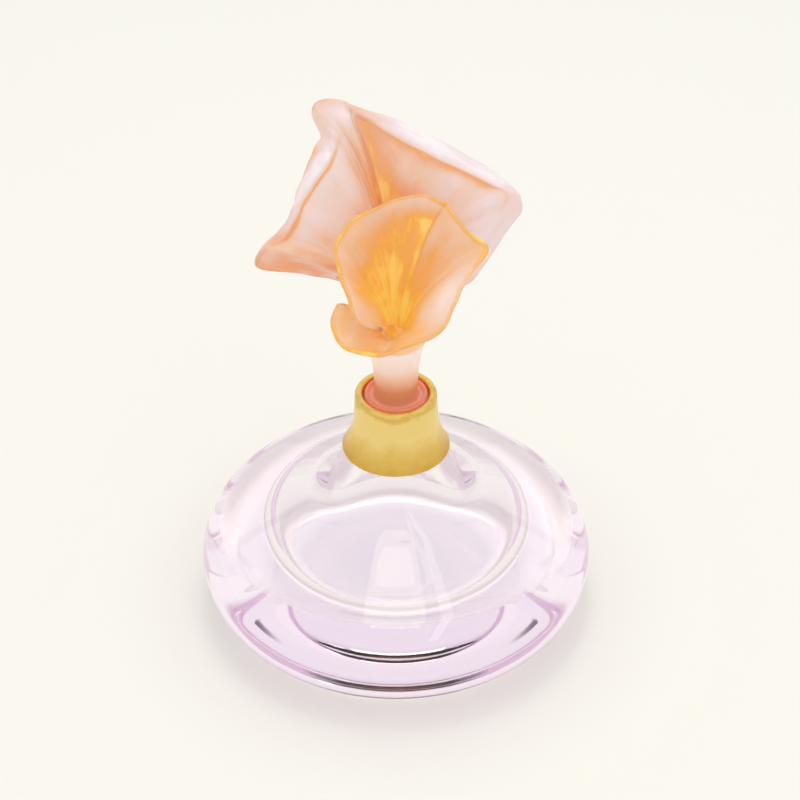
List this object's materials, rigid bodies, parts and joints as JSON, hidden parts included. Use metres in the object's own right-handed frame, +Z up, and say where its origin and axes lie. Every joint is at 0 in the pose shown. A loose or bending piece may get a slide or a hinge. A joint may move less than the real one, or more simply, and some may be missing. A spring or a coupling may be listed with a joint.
{
  "type": "stoppered perfume flacon",
  "caption": "Low round crystal perfume bottle with a domed cavity, a gilt neck collar and a frosted glass stopper shaped as two calla blooms.",
  "frame": {"origin": "centre of the flat foot that the bottle stands on", "axes": "+Z up along the bottle's axis, -Y the way the blooms open, +X to the right seen from in front of the blooms"},
  "size_m": [0.12, 0.12, 0.1657],
  "materials": {
    "lilac_crystal": "polished clear crystal, pale lilac through its thickness",
    "gilt_brass": "gilt, satin with a soft sheen",
    "cement": "matt white cement",
    "sleeve_polymer": "translucent soft polymer",
    "ground_crystal": "ground clear crystal",
    "frosted_stem": "frosted cast glass, peach with lilac edges and a coral flange",
    "amber_cast_glass": "frosted cast glass, yellow in the throat and orange at the edges",
    "pink_cast_glass": "frosted cast glass, pale pink and lilac with orange folds"
  },
  "bodies": {
    "bottle": {"bottle_body": "lilac_crystal", "neck_collar": "gilt_brass", "collar_cement": "cement"},
    "sleeve": {"seal_sleeve": "sleeve_polymer"},
    "stopper": {"stopper_plug": "ground_crystal", "plug_cement": "cement", "stopper_stem": "frosted_stem", "front_bloom": "amber_cast_glass", "rear_bloom": "pink_cast_glass"}
  },
  "joints": [
    {"name": "stopper_lift", "type": "slide", "parent": "bottle", "child": "sleeve", "axis": [0, 0, 1], "range_m": [0, 0.03]},
    {"name": "stopper_turn", "type": "hinge", "parent": "sleeve", "child": "stopper", "pos_m": [0, 0, 0.0748], "axis": [0, 0, 1], "continuous": true}
  ]
}
